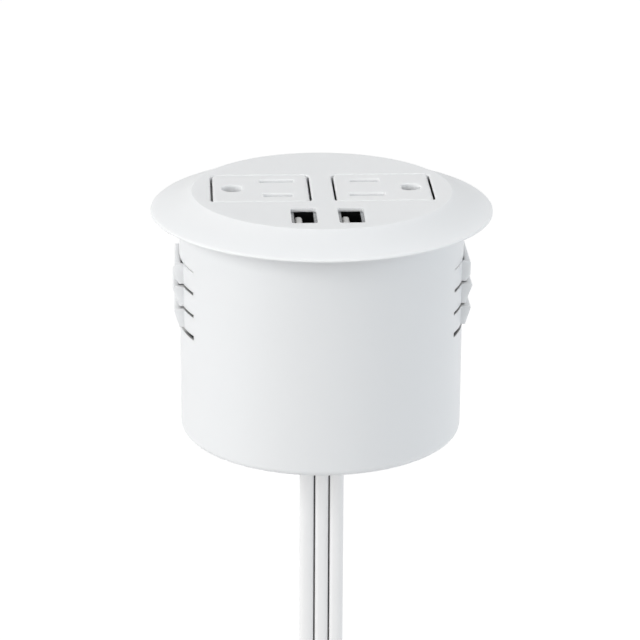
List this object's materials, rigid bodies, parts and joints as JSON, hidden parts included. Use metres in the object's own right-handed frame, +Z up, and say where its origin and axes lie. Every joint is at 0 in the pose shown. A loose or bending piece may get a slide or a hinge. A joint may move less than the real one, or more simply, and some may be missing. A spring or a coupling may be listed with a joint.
{
  "type": "in-desk power module",
  "caption": "Round white flanged power module for a desktop hole, with grounded outlets and USB-A ports on top, a ribbed retaining body below and a flat power cord.",
  "frame": {"origin": "centre of the flange's underside, where it rests on the desktop", "axes": "+X to the right and -Y towards the user, who faces the USB ports; +Z up, out of the desktop"},
  "size_m": [0.092, 0.1518, 0.3514],
  "materials": {
    "white_abs": "smooth satin moulded plastic",
    "white_thermoplastic": "smooth satin moulded plastic",
    "white_nylon": "moulded nylon",
    "shutter_plastic": "slippery moulded plastic",
    "spring_steel": "thin spring strip",
    "screw_steel": "zinc-plated steel",
    "contact_brass": "pressed strip",
    "usb_steel": "nickel-plated sheet",
    "tongue_plastic": "moulded insulator",
    "board_laminate": "coated glass-fibre board",
    "ferrite": "ferrite core with a taped winding",
    "capacitor_sleeve": "shrink sleeve",
    "lead_black": "vinyl insulation",
    "lead_white": "vinyl insulation",
    "lead_green": "vinyl insulation",
    "cord_jacket": "satin vinyl jacket",
    "tie_plastic": "thin plastic strip",
    "plug_vinyl": "moulded vinyl",
    "blade_nickel": "nickel-plated blade",
    "pin_brass": "turned pin"
  },
  "bodies": {
    "module": {"board_screws": "screw_steel", "bulk_capacitor": "capacitor_sleeve", "charger_board": "board_laminate", "cord_coil": "cord_jacket", "cord_tail": "cord_jacket", "cord_ties": "tie_plastic", "ground_contact_left": "contact_brass", "ground_contact_right": "contact_brass", "ground_lead": "lead_green", "housing": "white_abs", "housing_screws": "screw_steel", "line_contact_left": "contact_brass", "line_contact_right": "contact_brass", "line_lead": "lead_black", "neutral_contact_left": "contact_brass", "neutral_contact_right": "contact_brass", "neutral_lead": "lead_white", "output_capacitors": "capacitor_sleeve", "plug_body": "plug_vinyl", "plug_ground_pin": "pin_brass", "plug_line_blade": "blade_nickel", "plug_neutral_blade": "blade_nickel", "power_cord": "cord_jacket", "receptacle_base_left": "white_nylon", "receptacle_base_right": "white_nylon", "receptacle_face_left": "white_thermoplastic", "receptacle_face_right": "white_thermoplastic", "shutter_spring_left": "spring_steel", "shutter_spring_right": "spring_steel", "strain_relief": "white_nylon", "top_plate": "white_abs", "transformer": "ferrite", "usb_shell_left": "usb_steel", "usb_shell_right": "usb_steel", "usb_tongue_left": "tongue_plastic", "usb_tongue_right": "tongue_plastic"},
    "shutter_left": {"shutter_left": "shutter_plastic"},
    "shutter_right": {"shutter_right": "shutter_plastic"}
  },
  "joints": [
    {"name": "shutter_right_slide", "type": "slide", "parent": "module", "child": "shutter_right", "axis": [0, 1, 0], "range_m": [0, 0.003], "stiffness_N_per_m": 60, "springref_m": -0.002, "deforming": ["shutter_spring_right"]},
    {"name": "shutter_left_slide", "type": "slide", "parent": "module", "child": "shutter_left", "axis": [0, -1, 0], "range_m": [0, 0.003], "stiffness_N_per_m": 60, "springref_m": -0.002, "deforming": ["shutter_spring_left"]}
  ]
}
